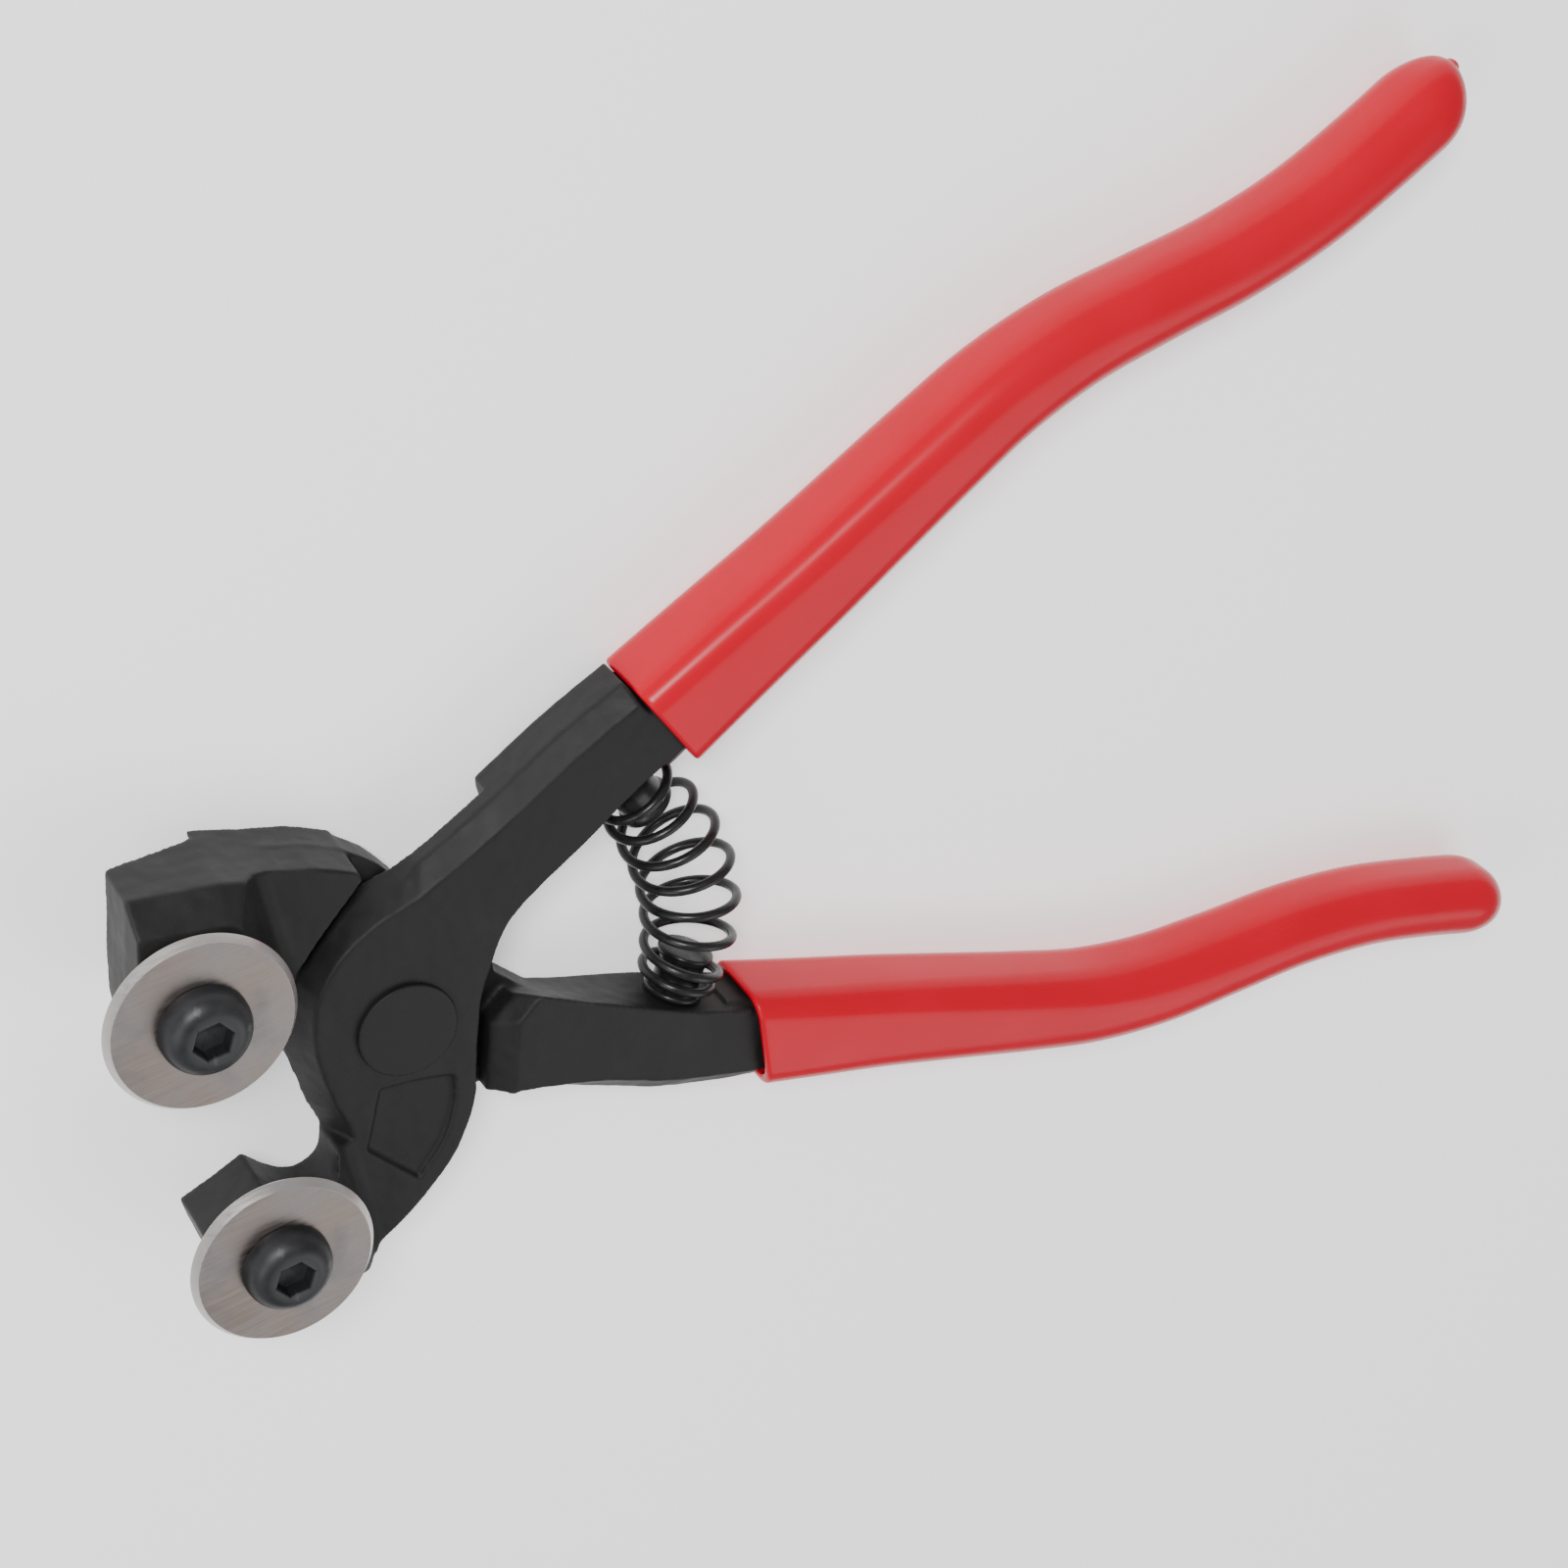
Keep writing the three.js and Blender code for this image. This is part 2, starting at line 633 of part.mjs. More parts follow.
for (const [name, side, stud] of [["upper", 1, upperStud], ["lower", -1, lowerStud]]) {
  const axis = wheelAxis(side);
  const wheelZ = seatZ + touchGap + wheelThickness / 2;
  addMesh(`${name}_wheel`, cuttingWheel(), steelGround).position.set(axis.x, axis.y, wheelZ);
  const headZ = seatZ + 2 * touchGap + wheelThickness;
  addMesh(`${name}_wheel_screw`, wheelScrew(), screwBlack).position.set(axis.x, axis.y, headZ);
  addMesh(`${name}_spring_stud`, lathe(studProfile, 32), springBlack).applyMatrix4(studMatrix(stud));
}

export default group;
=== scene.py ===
"""Blender look of the wheeled mosaic glass nippers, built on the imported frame. Lengths are in metres."""

import math

import bpy
import numpy as np
from mathutils import Matrix, Vector, noise


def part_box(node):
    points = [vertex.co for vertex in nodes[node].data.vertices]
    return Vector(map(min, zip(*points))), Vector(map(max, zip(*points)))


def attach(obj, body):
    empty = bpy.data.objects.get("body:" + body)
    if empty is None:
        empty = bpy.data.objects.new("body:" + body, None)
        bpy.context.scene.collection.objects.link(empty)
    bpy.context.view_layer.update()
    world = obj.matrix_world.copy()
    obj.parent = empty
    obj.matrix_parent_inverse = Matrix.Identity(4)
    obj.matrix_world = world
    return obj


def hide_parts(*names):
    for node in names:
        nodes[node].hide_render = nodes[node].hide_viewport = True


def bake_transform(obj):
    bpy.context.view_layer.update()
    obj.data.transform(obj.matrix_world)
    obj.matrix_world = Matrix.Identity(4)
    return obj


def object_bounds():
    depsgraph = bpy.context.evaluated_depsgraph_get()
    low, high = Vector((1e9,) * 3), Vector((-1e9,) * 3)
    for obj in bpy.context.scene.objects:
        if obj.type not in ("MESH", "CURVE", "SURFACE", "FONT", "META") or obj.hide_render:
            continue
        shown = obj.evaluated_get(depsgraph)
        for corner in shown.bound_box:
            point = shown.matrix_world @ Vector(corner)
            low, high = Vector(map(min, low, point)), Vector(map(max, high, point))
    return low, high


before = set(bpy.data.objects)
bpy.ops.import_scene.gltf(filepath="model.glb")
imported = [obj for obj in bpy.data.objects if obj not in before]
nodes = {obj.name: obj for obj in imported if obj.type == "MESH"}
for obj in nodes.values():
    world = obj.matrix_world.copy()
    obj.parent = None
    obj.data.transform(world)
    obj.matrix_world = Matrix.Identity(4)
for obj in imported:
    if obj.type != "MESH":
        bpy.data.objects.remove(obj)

cad_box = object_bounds()

MM = 0.001
FRONT, REAR = "front_half", "rear_half"

# ---- Driving dimensions, millimetres ----

MID_Z = 6.5
LEVER_FRONT_Z = 11.5
HANDLE_POINTS = (
    (32, 20.6), (40, 24.2), (50, 28.6), (60, 32.9), (70, 37.5), (80, 42.1), (89, 45.9), (99, 48.5),
    (110, 49.7), (121, 50.7), (132, 53.0), (142, 56.6), (155.5, 62.4),
)
GRIP_WIDTHS = ((0, 13.3), (0.17, 12.2), (0.35, 11.4), (0.55, 10.6), (0.72, 9.9), (0.86, 9.7), (1, 10.2))
GRIP_THICKNESS = 13.0
GRIP_THINNING = 1.0
GRIP_WALL = 1.3
GRIP_LIP = 1.1
GRIP_ROUND_END = 8.0
GRIP_CORNER = 3.4
GRIP_TIP_CORNER = 5.0
GRIP_TIP_DRIFT = 1.3
GRIP_NUB = 0.5
GRIP_RING_STEP = 1.4
SLANT_FADE = 15.0
GRIPS = {
    "upper_grip": {"start": 7.6, "slant": 0.0, "side": 1, "body": FRONT},
    "lower_grip": {"start": 10.4, "slant": 0.36, "side": -1, "body": REAR},
}
STUDS = {
    "upper_spring_stud": {"base": (33.4, 17.2), "direction": -65, "body": FRONT},
    "lower_spring_stud": {"base": (33.6, -15.6), "direction": 59, "body": REAR},
}
STUD_RADIUS = 2.9
STUD_COLLAR = 3.7
STUD_FLARE = 3.5
STUD_HEIGHT = 6.2
SPRING_WIRE = 1.2
SPRING_TURNS = 8
SPRING_END_TURNS = 0.95
SPRING_END_PITCH = 1.27
SPRING_END_RADIUS = 4.3
SPRING_MID_RADIUS = 5.8
SPRING_END_LIFT = 2.0
SPRING_PULL = 12.0
SPRING_BARREL = 0.7
WHEEL_RADIUS = 11.0
WHEEL_BORE_RADIUS = 3.08
WHEEL_HALF = 1.0
WHEEL_LAND_RADIUS = 10.25
SCREW_RADIUS = 3.0
SCREW_LENGTH = 12.0
SCREW_HEAD_RADIUS = 5.25
SCREW_HEAD_HEIGHT = 3.3
SCREW_FLAT_RADIUS = 2.9
SCREW_RIM = 0.45
HEX_ACROSS_FLATS = 4.0
RIVET_SHANK_RADIUS = 4.9
RIVET_BACK_HEAD = 1.4
POLE = 0.01

# ---- Mesh helpers ----


def mesh_object(name, points, faces):
    """New smooth-shaded mesh object; points are in millimetres in the part's frame."""
    mesh = bpy.data.meshes.new(name)
    mesh.from_pydata([Vector(p) * MM for p in points], [], faces)
    mesh.validate()
    mesh.shade_smooth()
    piece = bpy.data.objects.new(name, mesh)
    bpy.context.scene.collection.objects.link(piece)
    return piece


def ring_faces(rings, wrap):
    """Quads between equal rings, with a flat cap at each end or a wrap from the last ring to the first."""
    count = len(rings[0])
    faces = []
    last = len(rings) if wrap else len(rings) - 1
    for r in range(last):
        low, high = r * count, ((r + 1) % len(rings)) * count
        for i in range(count):
            j = (i + 1) % count
            faces.append((low + i, low + j, high + j, high + i))
    if not wrap:
        faces.append(tuple(reversed(range(count))))
        faces.append(tuple(range(last * count, (last + 1) * count)))
    return faces


def loft(name, rings, wrap=False):
    return mesh_object(name, [p for ring in rings for p in ring], ring_faces(rings, wrap))


def stepped(profile, longest=0.6):
    """The profile with its long stretches divided, so that shading along them stays even."""
    result = [profile[0]]
    for start, end in zip(profile, profile[1:]):
        count = max(1, math.ceil(math.dist(start, end) / longest))
        for i in range(1, count + 1):
            result.append(tuple(a + (b - a) * i / count for a, b in zip(start, end)))
    return result


def turned_ring(radius, height, steps, place):
    """Ring of points about the local Z axis; the radius is a number or a function of the angle."""
    ring = []
    for i in range(steps):
        a = 2 * math.pi * i / steps
        r = radius(a) if callable(radius) else radius
        ring.append(place @ Vector((r * math.cos(a), r * math.sin(a), height)))
    return ring


def turned(name, profile, steps, place, wrap=False):
    """Lathe of a profile of (radius, height) about the local Z axis, set in place by a matrix."""
    return loft(name, [turned_ring(radius, height, steps, place) for radius, height in profile], wrap)


def rounded(profile, radius, steps=4):
    """The profile with each inner corner replaced by an arc-like curve of about that radius."""
    result = [profile[0]]
    for before, corner, after in zip(profile, profile[1:], profile[2:]):
        here = Vector(corner)
        back, ahead = Vector(before) - here, Vector(after) - here
        cut = min(radius, back.length * 0.45, ahead.length * 0.45)
        start, end = here + back.normalized() * cut, here + ahead.normalized() * cut
        for i in range(steps + 1):
            t = i / steps
            result.append(tuple(start * (1 - t) ** 2 + here * (2 * t * (1 - t)) + end * t**2))
    result.append(profile[-1])
    return result


# ---- Materials ----

EDGE_WEAR = "edge_wear"

def new_material(name):
    material = bpy.data.materials.new(name)
    material.use_nodes = True
    tree = material.node_tree
    return material, tree, tree.nodes["Principled BSDF"]


def link(tree, output, socket):
    tree.links.new(output, socket)


def object_coordinates(tree, offset=(0, 0, 0)):
    coordinates = tree.nodes.new("ShaderNodeTexCoord")
    if offset == (0, 0, 0):
        return coordinates.outputs["Object"]
    shift = tree.nodes.new("ShaderNodeVectorMath")
    shift.operation = "SUBTRACT"
    shift.inputs[1].default_value = offset
    link(tree, coordinates.outputs["Object"], shift.inputs[0])
    return shift.outputs["Vector"]


def noise_value(tree, where, scale, detail=3.0, roughness=0.55):
    texture = tree.nodes.new("ShaderNodeTexNoise")
    texture.inputs["Scale"].default_value = scale
    texture.inputs["Detail"].default_value = detail
    texture.inputs["Roughness"].default_value = roughness
    link(tree, where, texture.inputs["Vector"])
    return texture.outputs["Fac"]


def remap(tree, value, low, high, to_low, to_high):
    node = tree.nodes.new("ShaderNodeMapRange")
    for key, number in (("From Min", low), ("From Max", high), ("To Min", to_low), ("To Max", to_high)):
        node.inputs[key].default_value = number
    link(tree, value, node.inputs["Value"])
    return node.outputs["Result"]


def mix_colour(tree, factor, first, second):
    node = tree.nodes.new("ShaderNodeMix")
    node.data_type = "RGBA"
    link(tree, factor, node.inputs["Factor"])
    for socket, value in ((node.inputs["A"], first), (node.inputs["B"], second)):
        if isinstance(value, tuple):
            socket.default_value = (*value, 1)
        else:
            link(tree, value, socket)
    return node.outputs["Result"]


def bump(tree, height, strength, distance, under=None):
    node = tree.nodes.new("ShaderNodeBump")
    node.inputs["Strength"].default_value = strength
    node.inputs["Distance"].default_value = distance
    link(tree, height, node.inputs["Height"])
    if under is not None:
        link(tree, under, node.inputs["Normal"])
    return node.outputs["Normal"]


def forged_steel():
    """Black oxide over a forged skin: grainy, mottled, filed, browner and brighter on worn edges."""
    material, tree, shader = new_material("black_forged_steel")
    where = object_coordinates(tree)
    mottle = noise_value(tree, where, 160, 4)
    grain = noise_value(tree, where, 2600, 3, 0.6)
    pitting = noise_value(tree, where, 700, 4, 0.7)
    edge = tree.nodes.new("ShaderNodeAttribute")
    edge.attribute_name = EDGE_WEAR
    patchy = remap(tree, mottle, 0.35, 0.6, 0.35, 1)
    worn = tree.nodes.new("ShaderNodeMath")
    worn.operation = "MULTIPLY"
    link(tree, remap(tree, edge.outputs["Fac"], 0.25, 1.1, 0, 0.6), worn.inputs[0])
    link(tree, patchy, worn.inputs[1])
    patches = remap(tree, mottle, 0.35, 0.65, 0, 1)
    skin = mix_colour(tree, patches, (0.0085, 0.0082, 0.0088), (0.0135, 0.0128, 0.013))
    colour = mix_colour(tree, worn.outputs["Value"], skin, (0.05, 0.041, 0.036))
    link(tree, colour, shader.inputs["Base Color"])
    link(tree, remap(tree, mottle, 0.3, 0.7, 0.5, 0.62), shader.inputs["Roughness"])
    shader.inputs["Specular IOR Level"].default_value = 0.27
    stroke = tree.nodes.new("ShaderNodeMapping")
    stroke.inputs["Rotation"].default_value = (0, 0, math.radians(24))
    stroke.inputs["Scale"].default_value = (1, 0.06, 0.06)
    link(tree, where, stroke.inputs["Vector"])
    filing = noise_value(tree, stroke.outputs["Vector"], 1500, 3, 0.6)
    coarse = bump(tree, pitting, 0.4, 0.00008, bump(tree, filing, 0.25, 0.00004))
    link(tree, bump(tree, grain, 0.45, 0.00003, coarse), shader.inputs["Normal"])
    return material


def ground_steel(name, centre, marks_turn):
    """Wheel steel with straight fine grinding marks, a little heat tint and a brighter ground bevel."""
    material, tree, shader = new_material(name)
    where = object_coordinates(tree, centre)
    stroke = tree.nodes.new("ShaderNodeMapping")
    stroke.inputs["Rotation"].default_value = (0, 0, math.radians(marks_turn))
    stroke.inputs["Scale"].default_value = (0.05, 1, 1)
    link(tree, where, stroke.inputs["Vector"])
    marks = noise_value(tree, stroke.outputs["Vector"], 2600, 4, 0.6)
    cloud = noise_value(tree, where, 240, 4)
    tint = noise_value(tree, where, 110, 2)
    flat = tree.nodes.new("ShaderNodeVectorMath")
    flat.operation = "MULTIPLY"
    flat.inputs[1].default_value = (1, 1, 0)
    link(tree, where, flat.inputs[0])
    radius = tree.nodes.new("ShaderNodeVectorMath")
    radius.operation = "LENGTH"
    link(tree, flat.outputs["Vector"], radius.inputs[0])
    warm = mix_colour(tree, remap(tree, tint, 0.4, 0.62, 0, 1), (0.165, 0.13, 0.113), (0.165, 0.155, 0.158))
    face = mix_colour(tree, remap(tree, marks, 0.3, 0.7, 0, 0.75), warm, (0.31, 0.275, 0.255))
    face = mix_colour(tree, remap(tree, cloud, 0.5, 0.75, 0, 0.5), face, (0.13, 0.12, 0.118))
    land = WHEEL_LAND_RADIUS * MM
    bevel = remap(tree, radius.outputs["Value"], land - 0.03 * MM, land + 0.07 * MM, 0, 1)
    link(tree, mix_colour(tree, bevel, face, (0.48, 0.455, 0.445)), shader.inputs["Base Color"])
    link(tree, remap(tree, marks, 0.3, 0.7, 0.32, 0.5), shader.inputs["Roughness"])
    shader.inputs["Metallic"].default_value = 0.95
    link(tree, bump(tree, marks, 0.3, 0.00002), shader.inputs["Normal"])
    return material


def blued_steel():
    """Dark blue-black screw finish, smoother than the forgings."""
    material, tree, shader = new_material("blued_screw_steel")
    where = object_coordinates(tree)
    mottle = noise_value(tree, where, 420, 4)
    grain = noise_value(tree, where, 3200, 3)
    edge = tree.nodes.new("ShaderNodeNewGeometry").outputs["Pointiness"]
    worn = remap(tree, edge, 0.52, 0.6, 0, 0.6)
    patches = remap(tree, mottle, 0.35, 0.7, 0, 1)
    skin = mix_colour(tree, patches, (0.011, 0.0115, 0.013), (0.021, 0.0215, 0.024))
    link(tree, mix_colour(tree, worn, skin, (0.06, 0.06, 0.065)), shader.inputs["Base Color"])
    link(tree, remap(tree, mottle, 0.3, 0.7, 0.4, 0.52), shader.inputs["Roughness"])
    shader.inputs["Metallic"].default_value = 0.2
    link(tree, bump(tree, grain, 0.25, 0.00002), shader.inputs["Normal"])
    return material


def spring_enamel():
    """Oiled black wire and studs."""
    material, tree, shader = new_material("black_spring_wire")
    where = object_coordinates(tree)
    mottle = noise_value(tree, where, 900, 3)
    skin = mix_colour(tree, mottle, (0.012, 0.012, 0.013), (0.03, 0.03, 0.032))
    link(tree, skin, shader.inputs["Base Color"])
    link(tree, remap(tree, mottle, 0.3, 0.7, 0.24, 0.4), shader.inputs["Roughness"])
    shader.inputs["Metallic"].default_value = 0.5
    link(tree, bump(tree, mottle, 0.15, 0.00002), shader.inputs["Normal"])
    return material


def dipped_vinyl():
    """Glossy red dipped coating with the slow ripple of a dipped surface and faint scuffs."""
    material, tree, shader = new_material("red_dipped_vinyl")
    where = object_coordinates(tree)
    ripple = noise_value(tree, where, 90, 2, 0.4)
    scuff = noise_value(tree, where, 140, 2, 0.4)
    colour = mix_colour(tree, ripple, (0.52, 0.0, 0.014), (0.6, 0.0, 0.02))
    link(tree, colour, shader.inputs["Base Color"])
    link(tree, remap(tree, scuff, 0.3, 0.7, 0.22, 0.27), shader.inputs["Roughness"])
    shader.inputs["Specular IOR Level"].default_value = 0.17
    link(tree, bump(tree, ripple, 0.12, 0.0004), shader.inputs["Normal"])
    return material


def dress(piece, material, slot, body, *replaced):
    """Gives a piece its material and its body, and hides the CAD nodes that it stands for; the slot
    argument is not used.
    """
    piece.data.materials.clear()
    piece.data.materials.append(material)
    if body:
        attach(piece, body)
    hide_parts(*replaced)


# ---- Levers: the CAD solids, remeshed finely and rounded like forgings ----

FORGE_VOXEL = 0.26
FORGE_ROUNDING = 8
FORGE_WAVES = ((0.15, 0.16), (0.6, 0.05))


def read_points(mesh):
    points = np.empty(len(mesh.vertices) * 3)
    mesh.vertices.foreach_get("co", points)
    return points.reshape(-1, 3)


def read_normals(mesh):
    normals = np.empty(len(mesh.vertices) * 3)
    mesh.vertex_normals.foreach_get("vector", normals)
    return normals.reshape(-1, 3)


def mark_worn_edges(mesh, blurs=6):
    """Stores how sharply each point bulges, per millimetre, evened out over its neighbours."""
    count = len(mesh.vertices)
    ends = np.empty(len(mesh.edges) * 2, dtype=int)
    mesh.edges.foreach_get("vertices", ends)
    a, b = ends.reshape(-1, 2).T
    points, normals = read_points(mesh) / MM, read_normals(mesh)
    step = points[b] - points[a]
    square = np.maximum((step**2).sum(1), 1e-6)
    degree = np.maximum(np.bincount(a, minlength=count) + np.bincount(b, minlength=count), 1)

    def shared(at_a, at_b):
        return (np.bincount(a, at_a, count) + np.bincount(b, at_b, count)) / degree

    bulge = shared(-(step * normals[a]).sum(1) / square, (step * normals[b]).sum(1) / square)
    for _ in range(blurs):
        bulge = (bulge + shared(bulge[b], bulge[a])) / 2
    mesh.attributes.new(EDGE_WEAR, "FLOAT", "POINT").data.foreach_set("value", bulge)


def ripple_surface(mesh):
    """Moves each point along its normal by a little slow noise, the unevenness of a hammered forging."""
    points = read_points(mesh)
    lifts = [
        sum(noise.noise(Vector(p) * (scale / MM)) * height * MM for scale, height in FORGE_WAVES)
        for p in points
    ]
    points += read_normals(mesh) * np.array(lifts)[:, None]
    mesh.vertices.foreach_set("co", points.ravel())
    mesh.update()


def forged_copy(node):
    """A finely remeshed and smoothed copy of a CAD node, as a new object."""
    piece = bpy.data.objects.new(node + "_forging", nodes[node].data.copy())
    bpy.context.scene.collection.objects.link(piece)
    remesh = piece.modifiers.new("remesh", "REMESH")
    remesh.mode = "VOXEL"
    remesh.voxel_size = FORGE_VOXEL * MM
    soften = piece.modifiers.new("soften", "SMOOTH")
    soften.factor = 0.5
    soften.iterations = FORGE_ROUNDING
    mesh = bpy.data.meshes.new_from_object(piece.evaluated_get(bpy.context.evaluated_depsgraph_get()))
    piece.modifiers.clear()
    piece.data = mesh
    mark_worn_edges(mesh)
    ripple_surface(mesh)
    mesh.shade_smooth()
    return piece


# ---- Grips: lofted along the handle line ----


def catmull_rom(points, per_span):
    """Centripetal Catmull-Rom curve through points, as a list of points."""
    padded = [2 * points[0] - points[1], *points, 2 * points[-1] - points[-2]]
    curve = []
    for span in zip(padded, padded[1:], padded[2:], padded[3:]):
        knots = [0.0]
        for a, b in zip(span, span[1:]):
            knots.append(knots[-1] + math.sqrt((b - a).length))
        for i in range(per_span):
            t = knots[1] + (knots[2] - knots[1]) * i / per_span
            layer, reach = list(span), 1
            while len(layer) > 1:
                layer = [
                    blend_points(layer[k], layer[k + 1], t, *catmull_knots(knots, k, reach))
                    for k in range(len(layer) - 1)
                ]
                reach += 1
            curve.append(layer[0])
    return [*curve, points[-1]]


def catmull_knots(knots, k, reach):
    """Knot interval over which two neighbouring points are blended at each layer of the pyramid."""
    if reach == 1:
        return knots[k], knots[k + 1]
    if reach == 2:
        return knots[k], knots[k + 2]
    return knots[1], knots[2]


def blend_points(a, b, t, start, end):
    share = (t - start) / (end - start)
    return a * (1 - share) + b * share


class Line:
    """A curve measured by its arc length."""

    def __init__(self, points):
        self.points = points
        self.lengths = [0.0]
        for a, b in zip(points, points[1:]):
            self.lengths.append(self.lengths[-1] + (b - a).length)
        self.total = self.lengths[-1]

    def at(self, length):
        length = min(max(length, 0.0), self.total)
        k = next(i for i in range(1, len(self.lengths)) if self.lengths[i] >= length - 1e-9)
        share = (length - self.lengths[k - 1]) / (self.lengths[k] - self.lengths[k - 1])
        return self.points[k - 1].lerp(self.points[k], share)

    def along(self, length, step=0.6):
        return (self.at(min(length + step, self.total)) - self.at(max(length - step, 0.0))).normalized()


HANDLE = Line(catmull_rom([Vector((x, y, MID_Z)) for x, y in HANDLE_POINTS], 12))


def smooth_table(table, x):
    """Smoothly interpolated value of a table of (x, value)."""
    k = next((i for i in range(1, len(table)) if table[i][0] >= x), len(table) - 1)
    (x0, v0), (x1, v1) = table[k - 1], table[k]
    slopes = []
    for i in (k - 1, k):
        low, high = table[max(i - 1, 0)], table[min(i + 1, len(table) - 1)]
        slopes.append((high[1] - low[1]) / (high[0] - low[0]))
    t, span = (x - x0) / (x1 - x0), x1 - x0
    return (
        v0 * (2 * t**3 - 3 * t**2 + 1) + v1 * (3 * t**2 - 2 * t**3)
        + slopes[0] * span * (t**3 - 2 * t**2 + t) + slopes[1] * span * (t**3 - t**2)
    )


def grip_ring(grip, length, depth, squeeze=1.0, drift=0.0, steps=9):
    """Rounded rectangle across the handle line, a depth under the grip's outer surface.

    Towards the tip it is squeezed and drifts to the handle's outer side.
    """
    share = min(max((length - grip["start"]) / (HANDLE.total - grip["start"]), 0.0), 1.0)
    fade = min(max(1 - (length - grip["start"]) / SLANT_FADE, 0.0), 1.0)
    half_width = (smooth_table(GRIP_WIDTHS, share) / 2 - depth) * squeeze
    half_thick = ((GRIP_THICKNESS - GRIP_THINNING * share) / 2 - depth) * squeeze
    corner = GRIP_CORNER + (GRIP_TIP_CORNER - GRIP_CORNER) * min(share / 0.6, 1)
    corner = min(max(corner - depth, 0.6) / squeeze**0.5, half_width * 0.98, half_thick * 0.98)
    centre, along = HANDLE.at(length), HANDLE.along(length)
    side = Vector((-along.y, along.x, 0))
    centre = centre + side * drift
    ring = []
    for quarter in range(4):
        across_sign = 1 if quarter in (0, 3) else -1
        up_sign = 1 if quarter < 2 else -1
        for k in range(steps + 1):
            a = (quarter + k / steps) * math.pi / 2
            across = across_sign * (half_width - corner) + corner * math.cos(a)
            up = up_sign * (half_thick - corner) + corner * math.sin(a)
            point = centre + side * across + along * (across * grip["slant"] * fade) + Vector((0, 0, up))
            ring.append(Vector((point.x, point.y * grip["side"], point.z)))
    return ring


def grip_piece(name, grip):
    """Sleeve from inside its mouth, over a rolled lip, along the handle and round the closed end."""
    start, rings = grip["start"], []
    rings.append(grip_ring(grip, start + 4, GRIP_WALL))
    for i in range(9):
        a = math.pi * i / 8
        length = start + GRIP_LIP / 2 * (1 - math.sin(a))
        rings.append(grip_ring(grip, length, GRIP_WALL / 2 * (1 + math.cos(a))))
    straight_end = HANDLE.total - GRIP_ROUND_END
    straight = straight_end - start - GRIP_LIP
    count = round(straight / GRIP_RING_STEP)
    for i in range(count + 1):
        rings.append(grip_ring(grip, start + GRIP_LIP + straight * i / count, 0))
    round_end = GRIP_ROUND_END - GRIP_NUB
    for i in range(1, 15):
        share = math.sin(math.pi / 2 * i / 16)
        drift = GRIP_TIP_DRIFT * share**3
        rings.append(grip_ring(grip, straight_end + round_end * share, 0, math.sqrt(1 - share**2), drift))
    for climb, squeeze in ((0.3, 0.16), (0.7, 0.13), (0.92, 0.09), (1.0, 0.04)):
        length = straight_end + round_end + GRIP_NUB * climb
        rings.append(grip_ring(grip, length, 0, squeeze, GRIP_TIP_DRIFT))
    piece = loft(name + "_sleeve", rings)
    if grip["side"] < 0:
        piece.data.flip_normals()
    return piece


# ---- Wheels, screws, rivet and studs ----


def node_centre(name):
    low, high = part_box(name)
    return (Vector(low) + Vector(high)) / 2


def wheel_piece(name):
    """Disc with a bevelled rim and a bore with broken edges."""
    upper_half = [
        (WHEEL_RADIUS - 0.03, 0.06), (WHEEL_LAND_RADIUS + 0.07, WHEEL_HALF - 0.03),
        (WHEEL_LAND_RADIUS, WHEEL_HALF), (WHEEL_BORE_RADIUS + 0.25, WHEEL_HALF),
        (WHEEL_BORE_RADIUS, WHEEL_HALF - 0.25),
    ]
    lower_half = [(radius, -height) for radius, height in reversed(upper_half)]
    profile = [*lower_half, (WHEEL_RADIUS, 0.0), *upper_half]
    place = Matrix.Translation(node_centre(name) / MM)
    piece = turned(name + "_disc", profile, 180, place, wrap=True)
    harden(piece, 20)
    return piece


def harden(piece, degrees):
    """Keeps edges sharper than an angle crisp in the smooth shading."""
    piece.data.set_sharp_from_angle(angle=math.radians(degrees))


def hexagon(across_flats):
    """Radius of a hexagon at an angle."""
    return lambda a: across_flats / 2 / math.cos(a % (math.pi / 3) - math.pi / 6)


def screw_piece(name):
    """Button-head screw with a hexagon socket; the dome runs into the socket's mouth."""
    centre = node_centre(name) / MM
    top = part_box(name)[1][2] / MM
    place = Matrix.Translation((centre.x, centre.y, top - SCREW_HEAD_HEIGHT))
    shank = [
        (POLE, -SCREW_LENGTH), (SCREW_RADIUS - 0.5, -SCREW_LENGTH), (SCREW_RADIUS, 0.5 - SCREW_LENGTH),
        (SCREW_RADIUS, 0.0), (SCREW_HEAD_RADIUS - 0.25, 0.0), (SCREW_HEAD_RADIUS, 0.12),
        (SCREW_HEAD_RADIUS, 0.4),
    ]
    reach = SCREW_HEAD_RADIUS - SCREW_FLAT_RADIUS
    climb = SCREW_HEAD_HEIGHT - SCREW_RIM
    quarter = [math.pi / 2 * i / 14 for i in range(15)]
    dome = [(SCREW_FLAT_RADIUS + reach * math.cos(a), SCREW_RIM + climb * math.sin(a)) for a in quarter]
    mouth = [(HEX_ACROSS_FLATS + 0.35, 3.3), (HEX_ACROSS_FLATS + 0.05, 3.12)]
    walls = [(HEX_ACROSS_FLATS, 3.0), (HEX_ACROSS_FLATS, 1.3)]
    socket = [(hexagon(across_flats), z) for across_flats, z in mouth + walls]
    piece = turned(name + "_button", [*shank, *dome, *socket, (POLE, 0.9)], 96, place)
    harden(piece, 38)
    return piece


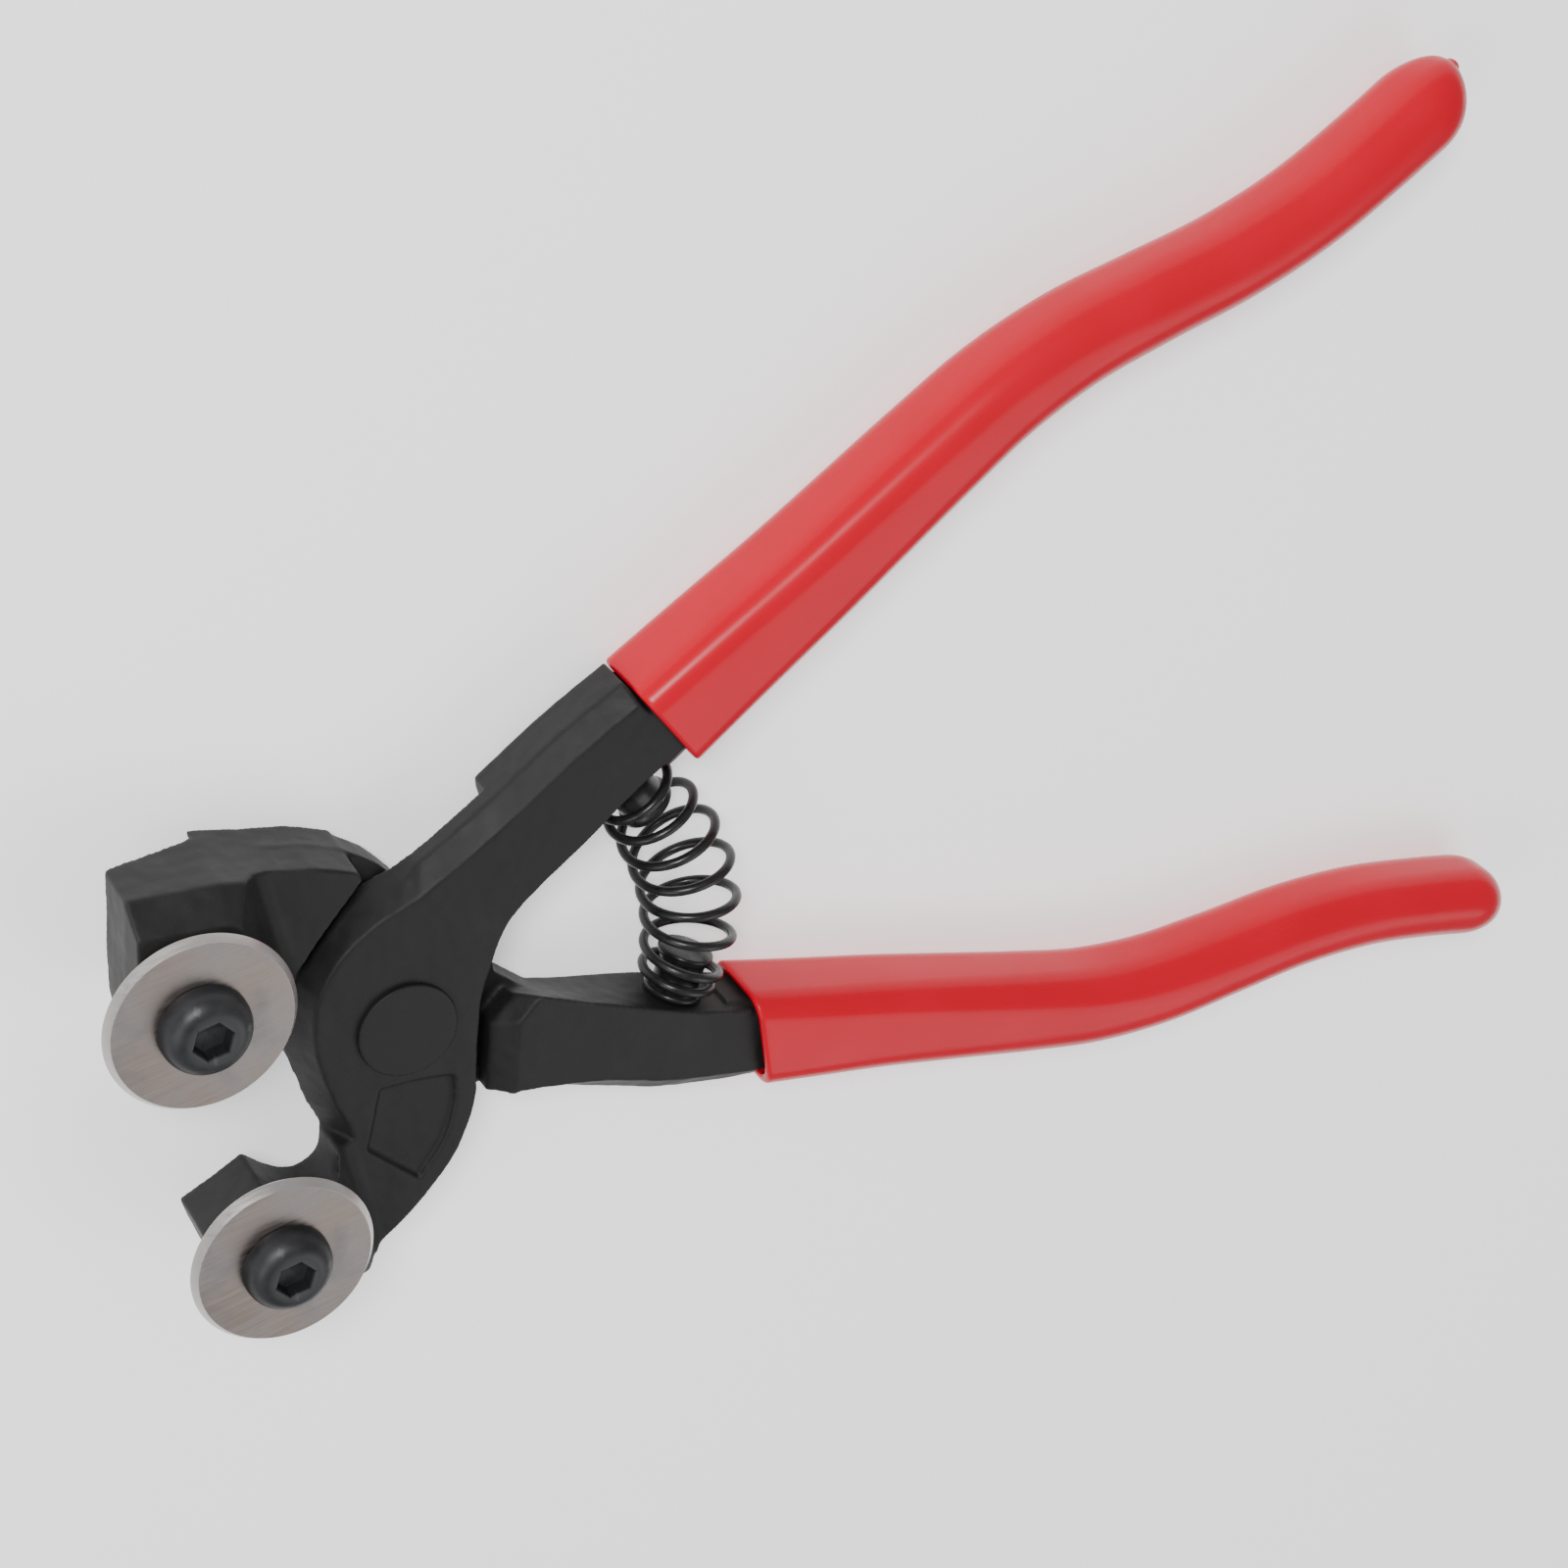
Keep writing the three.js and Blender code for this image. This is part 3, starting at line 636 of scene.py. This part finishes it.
def rivet_piece():
    low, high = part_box("pivot_rivet")
    front, radius = high[2] / MM, (high[0] - low[0]) / 2 / MM
    profile = rounded([
        (0.9, 0.0), (radius, 0.0), (radius, RIVET_BACK_HEAD), (RIVET_SHANK_RADIUS, RIVET_BACK_HEAD),
        (RIVET_SHANK_RADIUS, LEVER_FRONT_Z + 0.1), (radius, LEVER_FRONT_Z - 0.25), (radius, front),
        (0.9, front),
    ], 0.28)
    piece = turned("pivot_rivet_head", stepped(profile), 96, Matrix())
    harden(piece, 50)
    return piece


def stud_place(stud):
    turn = Matrix.Rotation(math.radians(stud["direction"]), 4, "Z")
    stand = Matrix.Rotation(math.pi / 2, 4, "Y")
    return Matrix.Translation((*stud["base"], MID_Z)) @ turn @ stand


def stud_piece(name, stud):
    profile = rounded([
        (POLE, -4.0), (2.0, -4.0), (2.0, 0.0), (STUD_COLLAR, 0.0), (STUD_COLLAR, 0.7), (STUD_RADIUS, 1.1),
        (STUD_RADIUS, STUD_HEIGHT - 1.8), (STUD_FLARE, STUD_HEIGHT - 0.9), (STUD_FLARE, STUD_HEIGHT - 0.2),
        (0.9, STUD_HEIGHT), (POLE, STUD_HEIGHT - 0.5),
    ], 0.3)
    piece = turned(name + "_post", profile, 64, stud_place(stud))
    harden(piece, 50)
    return piece


# ---- Return spring ----


def bezier(points, t):
    a, b, c, d = points
    return a * (1 - t) ** 3 + b * (3 * t * (1 - t) ** 2) + c * (3 * t * t * (1 - t)) + d * t**3


def spring_axis():
    lower, upper = (stud_place(STUDS[name]) for name in ("lower_spring_stud", "upper_spring_stud"))
    heights = (SPRING_END_LIFT, SPRING_END_LIFT + SPRING_PULL)
    controls = [lower @ Vector((0, 0, h)) for h in heights]
    controls += [upper @ Vector((0, 0, h)) for h in reversed(heights)]
    return Line([bezier(controls, i / 200) for i in range(201)])


def spring_climb(turn_share, length):
    """Share of the axis reached after a share of the turns: nearly closed coils at both ends."""
    end_share = SPRING_END_TURNS / SPRING_TURNS
    closed = SPRING_END_TURNS * SPRING_END_PITCH / length
    if turn_share < end_share:
        return turn_share / end_share * closed
    if turn_share > 1 - end_share:
        return 1 - (1 - turn_share) / end_share * closed
    return closed + (turn_share - end_share) / (1 - 2 * end_share) * (1 - 2 * closed)


def spring_path(axis, steps):
    """Centre line of the wire: a barrel-shaped helix about the bowed axis."""
    path = []
    for i in range(steps + 1):
        share = spring_climb(i / steps, axis.total)
        along = axis.along(share * axis.total)
        across = Vector((along.y, -along.x, 0)).normalized()
        swell = max(math.sin(math.pi * share), 0.0) ** SPRING_BARREL
        radius = SPRING_END_RADIUS + (SPRING_MID_RADIUS - SPRING_END_RADIUS) * swell
        a = i / steps * SPRING_TURNS * 2 * math.pi
        lift = Vector((0, 0, radius * math.sin(a)))
        path.append(axis.at(share * axis.total) + across * (radius * math.cos(a)) + lift)
    return path


def spring_piece():
    """Round wire swept along the helix."""
    steps = round(SPRING_TURNS * (56))
    path = spring_path(spring_axis(), steps)
    turn = [2 * math.pi * k / 12 for k in range(12)]
    rings = []
    normal = Vector((0, 0, 1))
    for i, point in enumerate(path):
        forward = (path[min(i + 1, steps)] - path[max(i - 1, 0)]).normalized()
        normal = (normal - forward * normal.dot(forward)).normalized()
        other = forward.cross(normal)
        rim = [(normal * math.cos(t) + other * math.sin(t)) * (SPRING_WIRE / 2) for t in turn]
        rings.append([point + offset for offset in rim])
    return loft("return_spring_coil", rings)


# ---- Build the pieces ----

black = forged_steel()
blued = blued_steel()
enamel = spring_enamel()
vinyl = dipped_vinyl()

dress(forged_copy("front_lever"), black, "forged_steel", FRONT, "front_lever")
dress(forged_copy("rear_lever"), black, "forged_steel", REAR, "rear_lever")
dress(rivet_piece(), black, "forged_steel", FRONT, "pivot_rivet")

for wheel, marks_turn in (("upper_wheel", 62), ("lower_wheel", -38)):
    steel = ground_steel("ground_" + wheel, tuple(node_centre(wheel)), marks_turn)
    dress(wheel_piece(wheel), steel, "wheel_steel", wheel, wheel)

dress(screw_piece("upper_wheel_screw"), blued, "black_screw", REAR, "upper_wheel_screw")
dress(screw_piece("lower_wheel_screw"), blued, "black_screw", FRONT, "lower_wheel_screw")

for grip_name, grip_facts in GRIPS.items():
    dress(grip_piece(grip_name, grip_facts), vinyl, "grip", grip_facts["body"], grip_name)

for stud_name, stud_facts in STUDS.items():
    dress(stud_piece(stud_name, stud_facts), enamel, "black_spring", stud_facts["body"], stud_name)

spring = spring_piece()
dress(spring, enamel, "black_spring", None, "return_spring")
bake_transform(spring)

# ---- Camera, floor and lights ----

CAMERA_TILT = 40.58
CAMERA_TURN = -44.69
TOOL_TURN = 18.2
CAMERA_OFFSET = Vector((-46.35, -24.85, -380.9))
CAMERA_LENS = 75.37


def turn3(degrees, axis):
    return Matrix.Rotation(math.radians(degrees), 3, axis)


def add_camera():
    """Long lens above the jaws, tilted from the pivot's axis and rolled as the tool is pictured."""
    lean = turn3(CAMERA_TURN, "Z") @ turn3(CAMERA_TILT, "Y") @ turn3(-CAMERA_TURN, "Z")
    to_world = (lean @ turn3(TOOL_TURN, "Z")).transposed()
    eye = to_world @ -CAMERA_OFFSET + Vector((0, 0, 4.6))
    data = bpy.data.cameras.new("camera")
    data.lens = CAMERA_LENS
    data.sensor_width = 36
    data.clip_start = 0.01
    camera = bpy.data.objects.new("camera", data)
    camera.matrix_world = Matrix.Translation(eye * MM) @ to_world.to_4x4()
    bpy.context.scene.collection.objects.link(camera)
    bpy.context.scene.camera = camera


def add_floor():
    bpy.ops.mesh.primitive_plane_add(size=6, location=(0.06, 0, cad_box[0][2] - 0.0002))
    floor = bpy.context.object
    floor.name = "floor"
    material, tree, shader = new_material("pale_floor")
    shader.inputs["Base Color"].default_value = (0.95, 0.95, 0.95, 1)
    shader.inputs["Roughness"].default_value = 0.6
    shader.inputs["Emission Color"].default_value = (1, 1, 1, 1)
    shader.inputs["Emission Strength"].default_value = 0.6
    floor.data.materials.append(material)


def add_softbox(name, direction, distance, size, power):
    """Square area light at a distance in a direction from the tool, aimed back at it."""
    data = bpy.data.lights.new(name, "AREA")
    data.size = size
    data.energy = power
    lamp = bpy.data.objects.new(name, data)
    aim = Vector((0.05, 0, 0))
    toward = Vector(direction).normalized()
    lamp.location = aim + toward * distance
    lamp.rotation_euler = toward.to_track_quat("Z", "Y").to_euler()
    bpy.context.scene.collection.objects.link(lamp)


def add_world(level):
    world = bpy.data.worlds.new("studio")
    world.use_nodes = True
    world.node_tree.nodes["Background"].inputs["Color"].default_value = (1, 1, 1, 1)
    world.node_tree.nodes["Background"].inputs["Strength"].default_value = level
    bpy.context.scene.world = world


add_camera()
add_floor()
add_softbox("front_softbox", (0.3, -0.58, 0.76), 0.9, 0.6, 2.7)
add_softbox("top_softbox", (-0.3, 0.66, 0.72), 0.9, 0.18, 6.4)
add_softbox("jaw_softbox", (-0.9, 0.1, 0.7), 0.9, 0.4, 2)
add_world(0.42)
